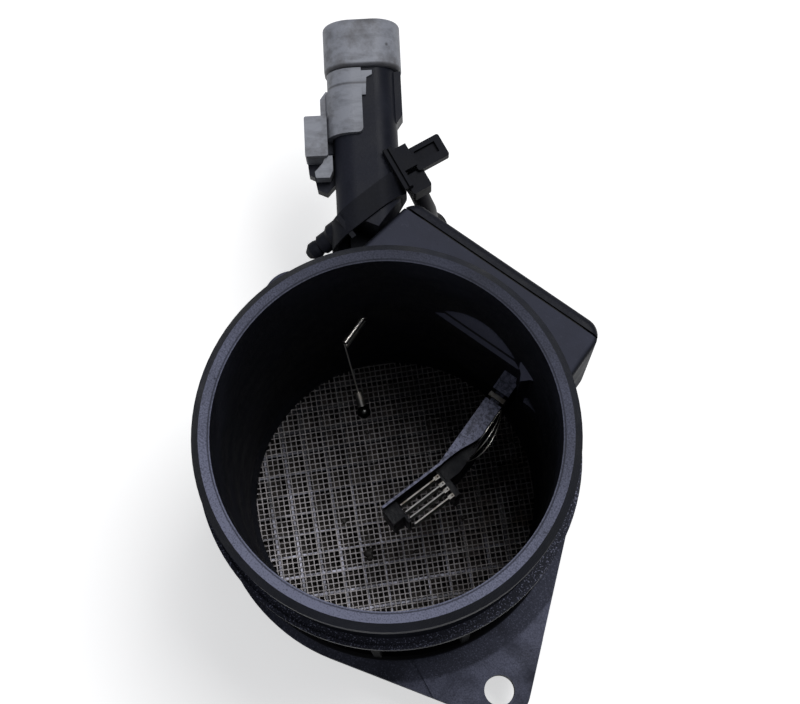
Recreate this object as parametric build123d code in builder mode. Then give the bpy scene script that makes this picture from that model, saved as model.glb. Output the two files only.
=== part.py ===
from build123d import *
from math import cos, radians, sin, tan
import os

# Mass airflow sensor. Millimetres. The duct's axis is Z and the air leaves upwards. The
# origin is the centre of the flange's seating plane. The electronics box is on the +Y side.

os.makedirs("parts", exist_ok=True)

# Clearances
seat_gap = 0.3
slip_gap = 0.15
cut_margin = 1.0

# Duct, outlet spigot and hose stop
bore_radius = 38.0
rim_height = 100.0
rim_face_radius = 40.5
bead_radius = 42.2
bead_chamfer_height = 2.3
bead_height = 8.0
neck_radius = 40.2
neck_blend = 1.4
stop_radius = 44.3
stop_top = 68.0
stop_thickness = 4.0
stop_lip_width = 0.9
stop_lip_height = 0.7
body_radius = 41.4

# Mounting flange with two ears
flange_thickness = 6.0
flange_radius = 45.9
foot_width = 2.3
foot_height = 4.0
foot_chamfer = 1.0
ear_distance = 57.7
ear_tip_radius = 7.9
ear_hole_radius = 3.9
ear_angle = -26.9
ear_pad_width = 31.6
ear_pad_rise = 1.0

# Stiffening ribs between the flange and the hose stop
rib_count = 12
rib_thickness = 2.0
rib_depth = 1.7

# Inlet spigot with a seat for the screen
spigot_radius = 41.2
spigot_length = 20.0
screen_level = -8.5
screen_lip_width = 1.2
screen_lip_thickness = 1.5
screen_lip_lead = 5.2
socket_radius = 39.0
seal_groove_level = -5.0
seal_groove_width = 3.4
seal_groove_depth = 1.6
seal_section_radius = 1.6

# Screen, straightener grid and snap ring
screen_thickness = 0.5
screen_pitch = 6.2
screen_wire = 0.7
screen_frame_width = 1.5
screen_angle = 44.4
grid_pitch = 5.5
grid_wall = 0.6
grid_depth = 6.0
grid_frame_width = 1.5
snap_ring_wire = 1.1
snap_ring_bite = 0.7
snap_ring_opening = 24.0

# Electronics box and its lid
box_left = -32.0
box_right = 23.6
box_flare = 6.7
box_bottom = 13.0
box_top = 62.0
box_root = 20.0
box_face = 51.6
box_corner = 4.5
box_edge = 1.6
pocket_wall = 3.0
pocket_floor = 43.2
pocket_corner = 2.5
glue_thickness = 0.5
glue_width = 2.2
lid_thickness = 2.4
lid_tongue_depth = 1.6
lid_tongue_wall = 1.4

# Flow flat on the duct wall under the box
flat_distance = 35.9
flat_top = 58.0
flat_bottom = 16.0
flat_ramp = 10.0
flat_step = 2.4
flat_step_depth = 0.7

# Nose and ledge on the duct wall beside the arm, in plan
nose_outline = (
    (12.0, 37.2), (12.0, 35.6), (12.4, 34.7), (13.5, 33.8), (14.4, 32.1), (16.1, 33.7),
    (18.4, 34.6), (18.4, 36.0),
)
nose_top = 65.0
nose_bottom = 42.0
ledge_outline = (
    (16.5, 35.5), (16.0, 33.3), (16.3, 32.5), (18.4, 32.4), (20.3, 32.0), (21.6, 32.4),
    (20.4, 34.0),
)
ledge_top = 42.0
ledge_bottom = 30.0

# Sensor arm in plan: a straight root, a taper, and a thin web turned towards the axis
arm_top = 45.0
arm_height = 24.0
arm_left = 8.4
arm_thickness = 4.5
arm_taper_start = 21.0
arm_taper_end = 8.0
arm_belly = ((12.7, 18.1), (11.25, 14.9), (9.95, 11.5))
web_thickness = 0.6
web_length = 17.5
web_turn = 17.3
foot_block = (3.2, 4.4)
bridge_block = (1.6, 8.2)
cross_bar = (0.7, 6.3)
block_drop = 5.0
lower_body_outline = (
    (9.2, 21.0), (13.3, 21.0), (13.7, 15.5), (13.4, 9.5), (12.3, 6.0), (9.0, 7.0),
)
lower_body_top = 40.4
arm_base_thickness = 1.8
arm_base_margin = 2.4
band_distance = 29.3
band_groove_width = 3.0
band_groove_depth = 1.1
band_width = 1.2
band_thickness = 1.0
band_depth = 6.0

# Film plates on edge beside the web, between two guards, in metal clips
plate_start = 2.2
plate_length = 11.2
plate_height = 7.0
plate_thickness = 0.35
plate_top = 41.5
plate_offsets = (3.85, 5.6)
guard_offsets = (1.8, 7.5)
clip_wall = 0.3
clip_reach = 1.5
clip_height = 3.4
film_lead_radius = 0.14
film_lead_routes = (
    ((13.15, 27.0, 43.8), (13.15, 23.0, 44.0), (13.15, 19.6, 43.8), (12.75, 16.6, 40.8)),
    ((13.15, 27.5, 42.6), (14.2, 23.6, 43.8), (14.4, 18.0, 43.6), (13.5, 14.1, 40.8)),
    ((13.15, 27.9, 41.4), (14.9, 23.6, 43.2), (15.4, 16.2, 43.2), (13.3, 12.6, 40.8)),
)

# Air temperature sensor
pin_x = -27.4
pin_side = 0.9
pin_levels = (45.0, 41.4)
pin_end = 19.0
thermistor_lead_radius = 0.2
thermistor_lead_spacing = 0.7
thermistor_bead_centre = (-14.8, 8.8, 36.0)
thermistor_bead_radius = 1.7
thermistor_sleeve_length = 3.6
thermistor_sleeve_radius = 1.0

# Circuit board and what is on it
board_width = 47.0
board_height = 36.0
board_thickness = 0.8
board_standoff = 3.4
standoff_radius = 1.5
standoff_inset = 2.2
chip_size = (9.0, 7.0, 1.4)
chip_place = (-6.0, 6.0)
capacitor_size = (3.2, 1.8, 1.2)
capacitor_pitch = 5.0
capacitor_row = -10.0
capacitor_count = 5
pad_size = (2.4, 5.0, 0.6)
pad_pitch = 3.6
pad_count = 4
pad_place = (10.0, 8.0)

# Connector: its axis leaves the box's left side
connector_angle = 128.1
connector_level = 57.0
connector_shift = 2.2
connector_width = 15.6
connector_height = 13.0
connector_corner = 5.2
connector_gap = 2.5
connector_heel = (-2.2, 5.0)
side_rail_start = 82.4
side_rail_lead = 2.0
side_rail_depth = 1.4
side_rail_height = 6.0
connector_end = 104.0
connector_wall = 1.3
mouth_depth = 15.0
collar_width = 18.8
collar_height = 16.6
collar_corner = 6.8
collar_start = 95.7
collar_end = 107.7
collar_lip = 0.9
collar_edge = 1.0
blade_count = 5
blade_pitch = 2.2
blade_thickness = 0.6
blade_width = 1.6
blade_reach = 10.0
blade_root = 3.0
mouth_seal_width = 1.1
mouth_seal_height = 1.6

# Lock piece on the connector's outer corner, and the spur under it
latch_start = 79.0
latch_step = 90.6
latch_thickness = 1.5
latch_step_depth = 0.6
latch_edge = 0.35
latch_corner = 1.2
latch_drop = 3.0
hook_outline = ((1.2, 88.5), (-0.6, 88.5), (-0.9, 92.9), (-2.3, 93.6), (-2.3, 94.6), (1.2, 94.6))
hook_thickness = 0.8
flank_outline = ((8.4, 79.4), (10.7, 79.4), (10.7, 89.4), (9.3, 91.3), (8.4, 91.3))
flank_bottom = -2.2
flank_top = 2.4
tab_start = 74.5
tab_length = 10.1
tab_inner = 9.2
tab_reach = 14.7
tab_corner = 0.5
tab_bottom = -2.2
tab_top = 4.8
tongue_outline = (
    (9.8, 75.0), (8.2, 75.0), (8.2, 71.3), (9.0, 69.5), (12.4, 69.6), (12.6, 71.1), (10.7, 73.1),
)
tongue_bottom = -1.0
tongue_top = 3.0
spur_outline = (
    (6.8, 77.5), (6.8, 69.5), (8.1, 69.0), (10.0, 67.0), (12.3, 68.1), (12.9, 71.3),
    (14.2, 72.0), (14.7, 77.5),
)
spur_bottom = -6.0
spur_top = -2.5

# Shelf moulded on the housing, and the strap that holds the connector to it
shelf_width = 10.0
shelf_thickness = 3.6
shelf_start = 42.0
shelf_end = 73.0
strap_angle = 73.5
strap_distance = 61.3
strap_width = 5.6
strap_thickness = 1.3
strap_reach = 14.0
head_place = (-2.5, 9.6)
head_turn = 9.0
head_thickness = 1.2
head_plate = (11.0, 2.4)
head_ridges = (0.5, 1.8)
head_ridge_width = 0.8
head_ridge_height = 1.0
neck_block = (-4.4, 1.6, 2.2, 5.6)
side_block = (2.2, 7.1, 1.6, 6.6)
side_block_top = -0.4
side_block_depth = 6.0
tail = (-3.05, 3.0, 5.3, 13.7)
tail_thickness = 2.6
tail_corner = 0.6
tail_recess = (-1.8, 1.0, 6.4, 12.0)
tail_recess_depth = 1.4
root_plate = (-2.3, 4.3, -8.2, -7.0)
root_plate_bottom = -3.0
root_plate_top = 7.2
peg_start = (-41.85, 39.85, 58.1)
peg_direction = (-0.36, -0.822, -0.44)
peg_profile = (
    (0, -1.0), (3.2, -1.0), (3.2, 3.4), (2.5, 4.4), (2.5, 7.0), (1.9, 7.6), (2.2, 8.6),
    (2.2, 9.9), (1.1, 11.4), (0, 11.4),
)

# Short sleeved cable from the connector to the lid
cable_radius = 2.3
cable_exit_radius = 2.9
cable_exit_length = 5.2
cable_exit_place = (-4.6, 71.3)
cable_exit_drop = 1.0
cable_bends = ((-36.5, 60.8, 50.0), (-31.9, 58.6, 47.0), (-30.0, 58.6, 40.0))
cable_end = (-30.0, 58.6, 20.0)
cable_bend_share = 0.45
cable_boss_radius = 4.6
cable_boss_top = 27.0
cable_boss_bottom = 14.8
grommet_wall = 1.1
grommet_height = 5.0
grommet_rim = 0.8


def along(angle, distance):
    """Point in plan at a distance from the axis, in a direction in degrees from X."""
    return (distance * cos(radians(angle)), distance * sin(radians(angle)))


def box_sketch(left, right, near, far):
    """Centre and size of a rectangle given by its four sides."""
    return ((left + right) / 2, (near + far) / 2), (right - left, far - near)


def wall_run(side):
    """Run along the connector's axis where its rear face clears the box, at a side offset."""
    start = connector_origin + connector_side * side
    return (box_left - connector_gap - start.X) / connector_axis.X


def bend_radii(points, share):
    """Radius for each bend of a route: a share of what the shorter run beside it allows."""
    runs = [Vector(*b) - Vector(*a) for a, b in zip(points, points[1:])]
    radii = []
    for before, after in zip(runs, runs[1:]):
        half_turn = radians(before.get_angle(after)) / 2
        radii.append(share * min(before.length, after.length) / tan(half_turn))
    return radii


# Levels and places worked out from the sizes above
foot_radius = body_radius + foot_width
foot_top = flange_thickness + foot_height
stop_bottom = stop_top - stop_thickness
stop_lip_radius = stop_radius - stop_lip_width
stop_face = stop_top - stop_lip_height
bead_bottom = rim_height - bead_height
bead_shoulder = rim_height - bead_chamfer_height
core_radius = bore_radius - cut_margin
spigot_end = -spigot_length
screen_lip_top = screen_level + screen_lip_thickness
screen_lip_radius = bore_radius - screen_lip_width
insert_radius = socket_radius - slip_gap
grid_top = screen_level - screen_thickness
grid_bottom = grid_top - grid_depth
snap_groove_height = snap_ring_wire + slip_gap
ear_top = flange_thickness + ear_pad_rise
ear_places = [along(angle, ear_distance) for angle in (ear_angle, ear_angle + 180)]
lid_back = box_face + glue_thickness
lid_face = lid_back + lid_thickness
pocket_left = box_left + pocket_wall
pocket_right = box_right - pocket_wall
pocket_bottom = box_bottom + pocket_wall
pocket_top = box_top - pocket_wall
pocket_centre_x = (pocket_left + pocket_right) / 2
pocket_centre_z = (pocket_bottom + pocket_top) / 2
pocket_width = pocket_right - pocket_left
pocket_height = pocket_top - pocket_bottom
board_back = pocket_floor + board_standoff
board_front = board_back + board_thickness
arm_right = arm_left + arm_thickness
arm_middle = arm_left + arm_thickness / 2
arm_bottom = arm_top - arm_height
arm_mid_level = (arm_top + arm_bottom) / 2
block_height = arm_height - block_drop
block_top = arm_top - block_drop
shelf_y = -connector_height / 2 - seat_gap - shelf_thickness / 2

# Planes that the pieces are drawn on
box_face_plane = Plane.XZ.offset(-box_face)
board_plane = Plane.XZ.offset(-board_front)
connector_axis = Vector(cos(radians(connector_angle)), sin(radians(connector_angle)), 0)
connector_side = Vector(-sin(radians(connector_angle)), cos(radians(connector_angle)), 0)
connector_origin = connector_side * connector_shift + Vector(0, 0, connector_level)
connector_plane = Plane(origin=connector_origin, x_dir=connector_side, z_dir=connector_axis)
connector_plan = Plane(origin=connector_origin, x_dir=connector_side, z_dir=(0, 0, -1))
strap_run = Vector(*along(strap_angle, 1), 0)
strap_across = Vector(*along(strap_angle - 90, 1), 0)
strap_origin = connector_origin + connector_axis * strap_distance
strap_plan = Plane(origin=strap_origin, x_dir=strap_across, z_dir=(0, 0, 1))
head_origin = strap_origin + strap_across * head_place[0] + strap_run * head_place[1]
head_plan = Plane(origin=head_origin, x_dir=(*along(strap_angle - head_turn - 90, 1), 0),
                  z_dir=(0, 0, 1))
web_root = (arm_left + web_thickness / 2, arm_taper_end)
web_run = along(-90 - web_turn, 1)
web_plane = Plane(origin=(*web_root, 0), x_dir=(*web_run, 0), z_dir=(0, 0, 1))

# Moulded housing

with BuildSketch() as flange_outline:
    with BuildLine():
        CenterArc((0, 0), flange_radius, 0, 360)
        for place in ear_places:
            CenterArc(place, ear_tip_radius, 0, 360)
    make_hull()

with BuildPart() as flow_flat:
    with BuildSketch(Plane.YZ):
        with BuildLine():
            Polyline(
                (bore_radius + cut_margin, flat_top + flat_ramp),
                (bore_radius, flat_top + flat_ramp),
                (flat_distance + flat_step_depth, flat_top + flat_step),
                (flat_distance + flat_step_depth, flat_top),
                (flat_distance, flat_top - flat_step),
                (flat_distance, flat_bottom),
                (bore_radius, flat_bottom - flat_ramp),
                (bore_radius + cut_margin, flat_bottom - flat_ramp),
                close=True,
            )
        make_face()
    extrude(amount=bore_radius, both=True)
    Cylinder(bore_radius + slip_gap, 2 * rim_height, mode=Mode.INTERSECT)

with BuildPart() as wall_bosses:
    for outline, bottom, top in (
        (nose_outline, nose_bottom, nose_top),
        (ledge_outline, ledge_bottom, ledge_top),
    ):
        with BuildSketch(Plane.XY.offset(bottom)):
            Polygon(*outline, align=None)
        extrude(amount=top - bottom)
    Cylinder(bore_radius + slip_gap, 2 * rim_height, mode=Mode.INTERSECT)

with BuildPart() as box_form:
    with BuildSketch(Plane.XY.offset(box_bottom)):
        Polygon((box_left - box_flare, box_root), (box_right, box_root), (box_right, lid_face),
                (box_left, lid_face), align=None)
    extrude(amount=box_top - box_bottom)
    fillet(box_form.edges().filter_by(Axis.Z).group_by(Axis.Y)[-1], box_corner)
    fillet(box_form.edges().group_by(Axis.Z)[-1] + box_form.edges().group_by(Axis.Z)[0], box_edge)

with BuildPart() as box_body:
    add(box_form.part)
    split(bisect_by=box_face_plane, keep=Keep.TOP)

with BuildPart() as housing:
    with BuildSketch(Plane.XZ):
        with BuildLine():
            Polyline(
                (core_radius, spigot_end),
                (spigot_radius, spigot_end),
                (spigot_radius, 0),
                (foot_radius, 0),
                (foot_radius, foot_top - foot_chamfer),
                (foot_radius - foot_chamfer, foot_top),
                (body_radius, foot_top),
                (body_radius, stop_bottom),
                (stop_radius, stop_bottom),
                (stop_radius, stop_top),
                (stop_lip_radius, stop_top),
                (stop_lip_radius, stop_face),
                (neck_radius + neck_blend, stop_face),
                (neck_radius, stop_face + neck_blend),
                (neck_radius, bead_bottom - neck_blend),
                (bead_radius, bead_bottom),
                (bead_radius, bead_shoulder),
                (rim_face_radius, rim_height),
                (core_radius, rim_height),
                close=True,
            )
        make_face()
    revolve(axis=Axis.Z)
    with BuildSketch(Plane.XY):
        add(flange_outline.sketch)
    extrude(amount=flange_thickness)
    with BuildSketch(Plane.XY.offset(flange_thickness)):
        add(flange_outline.sketch)
        Rectangle(2 * (ear_distance + ear_tip_radius), ear_pad_width, rotation=ear_angle,
                  mode=Mode.INTERSECT)
    extrude(amount=ear_pad_rise)
    with BuildSketch(Plane.XY.offset(flange_thickness)):
        with PolarLocations(body_radius, rib_count):
            Rectangle(2 * rib_depth, rib_thickness)
    extrude(amount=stop_bottom - flange_thickness)
    add(box_body.part)
    with BuildSketch(connector_plane.offset(shelf_start)):
        with Locations((0, shelf_y)):
            Rectangle(shelf_width, shelf_thickness)
    extrude(amount=shelf_end - shelf_start)
    with BuildSketch(box_face_plane):
        with Locations((pocket_centre_x, pocket_centre_z)):
            RectangleRounded(pocket_width, pocket_height, pocket_corner)
    extrude(amount=box_face - pocket_floor, mode=Mode.SUBTRACT)
    with BuildSketch(Plane.XZ.offset(-board_back)):
        with Locations((pocket_centre_x, pocket_centre_z)):
            with GridLocations(board_width - 2 * standoff_inset, board_height - 2 * standoff_inset,
                               2, 2):
                Circle(standoff_radius)
    extrude(amount=board_standoff)
    with BuildSketch(Plane.XZ):
        with BuildLine():
            Polyline(
                (0, rim_height + cut_margin),
                (bore_radius, rim_height + cut_margin),
                (bore_radius, screen_lip_top + screen_lip_lead),
                (screen_lip_radius, screen_lip_top),
                (screen_lip_radius, screen_level),
                (socket_radius, screen_level),
                (socket_radius, grid_bottom),
                (socket_radius + snap_ring_bite, grid_bottom),
                (socket_radius + snap_ring_bite, grid_bottom - snap_groove_height),
                (socket_radius, grid_bottom - snap_groove_height),
                (socket_radius, spigot_end - cut_margin),
                (0, spigot_end - cut_margin),
                close=True,
            )
        make_face()
    revolve(axis=Axis.Z, mode=Mode.SUBTRACT)
    with BuildSketch(Plane.XY.offset(seal_groove_level - seal_groove_width / 2)):
        Circle(spigot_radius + cut_margin)
        Circle(spigot_radius - seal_groove_depth, mode=Mode.SUBTRACT)
    extrude(amount=seal_groove_width, mode=Mode.SUBTRACT)
    add(flow_flat.part)
    add(wall_bosses.part)
    with BuildSketch(Plane.XY):
        with Locations(*ear_places):
            Circle(ear_hole_radius)
    extrude(amount=ear_top, mode=Mode.SUBTRACT)
    with BuildSketch(box_face_plane):
        with Locations((arm_middle, arm_mid_level)):
            Rectangle(arm_thickness + 2 * slip_gap, arm_height + 2 * slip_gap)
        with Locations(*[(pin_x, level) for level in pin_levels]):
            Circle(pin_side)
    extrude(amount=box_face - pin_end, mode=Mode.SUBTRACT)
housing.part.label = "housing"

# Lid, with the boss that the cable enters, and the bead of glue under it

with BuildPart() as box_lid:
    add(box_form.part)
    split(bisect_by=Plane.XZ.offset(-lid_back), keep=Keep.BOTTOM)
    with BuildSketch(Plane.XZ.offset(-lid_back)):
        with Locations((pocket_centre_x, pocket_centre_z)):
            RectangleRounded(pocket_width - 2 * slip_gap, pocket_height - 2 * slip_gap,
                             pocket_corner)
            offset(amount=-lid_tongue_wall, mode=Mode.SUBTRACT)
    extrude(amount=lid_tongue_depth)
    with BuildSketch(Plane.XY.offset(cable_boss_bottom)):
        with Locations(cable_end[:2]):
            Circle(cable_boss_radius)
        with Locations((cable_end[0], (cable_end[1] + lid_back) / 2)):
            Rectangle(2 * cable_boss_radius, cable_end[1] - lid_back)
    extrude(amount=cable_boss_top - cable_boss_bottom)
    with Locations((*cable_end[:2], cable_boss_top)):
        Hole(cable_radius + slip_gap, depth=cable_boss_top - cable_end[2])
        Hole(cable_radius + grommet_wall, depth=grommet_height)
box_lid.part.label = "box_lid"

with BuildPart() as lid_adhesive:
    with BuildSketch(box_face_plane):
        with Locations((pocket_centre_x, pocket_centre_z)):
            RectangleRounded(pocket_width + 2 * glue_width, pocket_height + 2 * glue_width,
                             pocket_corner + glue_width)
            RectangleRounded(pocket_width, pocket_height, pocket_corner, mode=Mode.SUBTRACT)
    extrude(amount=-glue_thickness)
lid_adhesive.part.label = "lid_adhesive"

# Circuit board and its parts

with BuildPart() as circuit_board:
    with BuildSketch(board_plane):
        with Locations((pocket_centre_x, pocket_centre_z)):
            Rectangle(board_width, board_height)
    extrude(amount=board_thickness)
circuit_board.part.label = "circuit_board"

with BuildPart() as board_chip:
    with BuildSketch(board_plane):
        with Locations((pocket_centre_x + chip_place[0], pocket_centre_z + chip_place[1])):
            Rectangle(chip_size[0], chip_size[1])
    extrude(amount=-chip_size[2])
board_chip.part.label = "board_chip"

with BuildPart() as board_capacitors:
    with BuildSketch(board_plane):
        with Locations((pocket_centre_x, pocket_centre_z + capacitor_row)):
            with GridLocations(capacitor_pitch, 1, capacitor_count, 1):
                Rectangle(capacitor_size[0], capacitor_size[1])
    extrude(amount=-capacitor_size[2])
board_capacitors.part.label = "board_capacitors"

with BuildPart() as board_pads:
    with BuildSketch(board_plane):
        with Locations((pocket_centre_x + pad_place[0], pocket_centre_z + pad_place[1])):
            with GridLocations(pad_pitch, 1, pad_count, 1):
                Rectangle(pad_size[0], pad_size[1])
    extrude(amount=-pad_size[2])
board_pads.part.label = "board_pads"

# Sensor arm: its base sits on the pocket's floor and its web carries the plates

with BuildPart() as sensor_arm:
    with BuildSketch(Plane.XY.offset(arm_bottom)):
        with BuildLine():
            root = Polyline(
                (arm_left, arm_taper_end),
                (arm_left, pocket_floor),
                (arm_right, pocket_floor),
                (arm_right, arm_taper_start),
            )
            taper = Spline(root @ 1, *arm_belly, (arm_left + web_thickness, arm_taper_end))
            Line(taper @ 1, root @ 0)
        make_face()
    extrude(amount=arm_height)
    with BuildSketch(web_plane.offset(arm_bottom)):
        with Locations(((web_length - web_thickness) / 2, 0)):
            Rectangle(web_length + web_thickness, web_thickness)
    extrude(amount=arm_height)
    with BuildSketch(web_plane.offset(arm_bottom)):
        with Locations((bridge_block[0] / 2, bridge_block[1] / 2)):
            Rectangle(*bridge_block)
        with Locations((web_length - foot_block[0] / 2, foot_block[1] / 2)):
            Rectangle(*foot_block)
        with Locations((web_length - foot_block[0] - cross_bar[0] / 2, cross_bar[1] / 2)):
            Rectangle(*cross_bar)
    extrude(amount=block_height)
    with BuildSketch(Plane.XY.offset(arm_bottom)):
        Polygon(*lower_body_outline, align=None)
    extrude(amount=lower_body_top - arm_bottom)
    with BuildSketch(Plane.XZ.offset(-pocket_floor)):
        with Locations((arm_middle, arm_mid_level)):
            Rectangle(arm_thickness + 2 * arm_base_margin, arm_height + 2 * arm_base_margin)
    extrude(amount=-arm_base_thickness)
    with BuildSketch(Plane.XZ.offset(-band_distance - band_groove_width / 2)):
        with Locations((arm_middle, arm_top)):
            Rectangle(2 * arm_thickness, 2 * band_depth)
            Rectangle(arm_thickness - 2 * band_groove_depth, 2 * band_groove_depth + 2 * band_depth,
                      mode=Mode.SUBTRACT)
    extrude(amount=band_groove_width, mode=Mode.SUBTRACT)
    with BuildSketch(Plane.XZ.offset(-band_distance - band_groove_width / 2)):
        with Locations((arm_middle, arm_top)):
            Rectangle(2 * arm_thickness, 2 * band_groove_depth)
    extrude(amount=band_groove_width, mode=Mode.SUBTRACT)
sensor_arm.part.label = "sensor_arm"

with BuildPart() as arm_band:
    with BuildSketch(Plane.XZ.offset(-band_distance - band_width / 2)):
        with Locations((arm_middle, arm_top - band_groove_depth)):
            RectangleRounded(arm_thickness - 2 * band_groove_depth + 2 * band_thickness,
                             2 * (band_depth - band_groove_depth), band_thickness)
            Rectangle(arm_thickness - 2 * band_groove_depth, 2 * band_depth, mode=Mode.SUBTRACT)
        with Locations((arm_middle, arm_top - band_groove_depth + band_thickness / 2)):
            Rectangle(arm_thickness - 2 * band_groove_depth + 2 * band_thickness, band_thickness)
        with Locations((arm_middle, arm_top - band_groove_depth + band_thickness + band_depth)):
            Rectangle(3 * arm_thickness, 2 * band_depth, mode=Mode.SUBTRACT)
    extrude(amount=band_width)
arm_band.part.label = "arm_band"

plate_bottom = plate_top - plate_height

with BuildPart() as film_plates:
    with BuildSketch(web_plane.offset(plate_bottom)):
        with Locations(*[(plate_start + plate_length / 2, side) for side in plate_offsets]):
            Rectangle(plate_length, plate_thickness)
    extrude(amount=plate_height)
film_plates.part.label = "film_plates"

with BuildPart() as guard_plates:
    with BuildSketch(web_plane.offset(plate_bottom)):
        with Locations(*[(plate_start + plate_length / 2, side) for side in guard_offsets]):
            Rectangle(plate_length, plate_thickness)
    extrude(amount=plate_height)
guard_plates.part.label = "guard_plates"

clip_start = bridge_block[0]
clip_places = plate_offsets + guard_offsets

with BuildPart() as plate_clips:
    with BuildSketch(web_plane.offset(plate_top - clip_height)):
        with Locations(*[(clip_start + clip_reach / 2, side) for side in clip_places]):
            Rectangle(clip_reach, plate_thickness + 2 * clip_wall)
        with Locations(*[(clip_start + clip_wall + clip_reach / 2, side) for side in clip_places]):
            Rectangle(clip_reach, plate_thickness, mode=Mode.SUBTRACT)
    extrude(amount=clip_height)
plate_clips.part.label = "plate_clips"

with BuildPart() as film_leads:
    for route in film_lead_routes:
        with BuildLine():
            lead_route = Spline(*route)
        with BuildSketch(Plane(origin=route[0], z_dir=lead_route % 0)):
            Circle(film_lead_radius)
        sweep(path=lead_route)
film_leads.part.label = "film_leads"

# Air temperature sensor on two pins through the wall

with BuildPart() as thermistor_pins:
    with BuildSketch(Plane.XZ.offset(-pin_end)):
        with Locations(*[(pin_x, level) for level in pin_levels]):
            Circle(pin_side - slip_gap)
    extrude(amount=-(pocket_floor - pin_end))
thermistor_pins.part.label = "thermistor_pins"

bead = Vector(*thermistor_bead_centre)
pin_ends = [Vector(pin_x, pin_end - seat_gap, level) for level in pin_levels]
lead_travel = (bead - (pin_ends[0] + pin_ends[1]) / 2).normalized()
sleeve_start = bead - lead_travel * (thermistor_bead_radius + thermistor_sleeve_length)
sleeve_plane = Plane(origin=sleeve_start, x_dir=(0, 0, 1), z_dir=lead_travel)
lead_sides = (thermistor_lead_spacing / 2, -thermistor_lead_spacing / 2)

with BuildPart() as thermistor_leads:
    for tip, side in zip(pin_ends, lead_sides):
        neck = sleeve_start + sleeve_plane.x_dir * side
        with BuildSketch(Plane(origin=tip, z_dir=neck - tip)):
            Circle(thermistor_lead_radius)
        extrude(amount=(neck - tip).length)
        with Locations(neck):
            Sphere(thermistor_lead_radius)
        with BuildSketch(Plane(origin=neck, z_dir=lead_travel)):
            Circle(thermistor_lead_radius)
        extrude(amount=(bead - sleeve_start).length)
thermistor_leads.part.label = "thermistor_leads"

with BuildPart() as thermistor_sleeve:
    with BuildSketch(sleeve_plane):
        Circle(thermistor_sleeve_radius)
    extrude(amount=thermistor_sleeve_length)
    add(thermistor_leads.part, mode=Mode.SUBTRACT)
thermistor_sleeve.part.label = "thermistor_sleeve"

with BuildPart() as thermistor_bead:
    with Locations(bead):
        Sphere(thermistor_bead_radius)
    add(thermistor_leads.part, mode=Mode.SUBTRACT)
thermistor_bead.part.label = "thermistor_bead"

# Inlet insert: screen, straightener grid and snap ring, with the seal around the spigot


def lattice_plane(level):
    """Plane at a level, turned to the lattice's direction."""
    return Plane(origin=(0, 0, level), x_dir=(*along(screen_angle, 1), 0), z_dir=(0, 0, 1))


with BuildPart() as wire_screen:
    screen_cells = round(2 * insert_radius / screen_pitch)
    with BuildSketch(lattice_plane(screen_level - screen_thickness)):
        Circle(insert_radius)
        with BuildSketch(mode=Mode.SUBTRACT):
            with GridLocations(screen_pitch, screen_pitch, screen_cells, screen_cells):
                Rectangle(screen_pitch - screen_wire, screen_pitch - screen_wire)
            Circle(insert_radius - screen_frame_width, mode=Mode.INTERSECT)
    extrude(amount=screen_thickness)
wire_screen.part.label = "wire_screen"

with BuildPart() as straightener_grid:
    grid_cells = round(2 * insert_radius / grid_pitch)
    with BuildSketch(lattice_plane(grid_bottom)):
        Circle(insert_radius)
        with BuildSketch(mode=Mode.SUBTRACT):
            with GridLocations(grid_pitch, grid_pitch, grid_cells, grid_cells):
                Rectangle(grid_pitch - grid_wall, grid_pitch - grid_wall)
            Circle(insert_radius - grid_frame_width, mode=Mode.INTERSECT)
    extrude(amount=grid_depth)
straightener_grid.part.label = "straightener_grid"

snap_centre_radius = socket_radius + snap_ring_bite - slip_gap - snap_ring_wire / 2

with BuildPart() as screen_ring:
    with BuildSketch(Plane.XZ):
        with Locations((snap_centre_radius, grid_bottom - snap_ring_wire / 2)):
            Circle(snap_ring_wire / 2)
    revolve(axis=Axis.Z, revolution_arc=360 - snap_ring_opening)
screen_ring.part.label = "screen_ring"

seal_centre_radius = spigot_radius - seal_groove_depth + seal_section_radius

with BuildPart() as inlet_seal:
    with BuildSketch(Plane.XZ):
        with Locations((seal_centre_radius, seal_groove_level)):
            Circle(seal_section_radius)
    revolve(axis=Axis.Z)
inlet_seal.part.label = "inlet_seal"

# Connector body, collar, lock piece, blades and seal

connector_half = connector_width / 2 + cut_margin
mouth_width = connector_width - 2 * connector_wall
mouth_height = connector_height - 2 * connector_wall
mouth_corner = connector_corner - connector_wall
mouth_floor = connector_end - mouth_depth
exit_start = (connector_origin + connector_side * cable_exit_place[0]
              + connector_axis * cable_exit_place[1] - Vector(0, 0, cable_exit_drop))
exit_travel = (Vector(*cable_bends[0]) - exit_start).normalized()
exit_end = exit_start + exit_travel * cable_exit_length

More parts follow.
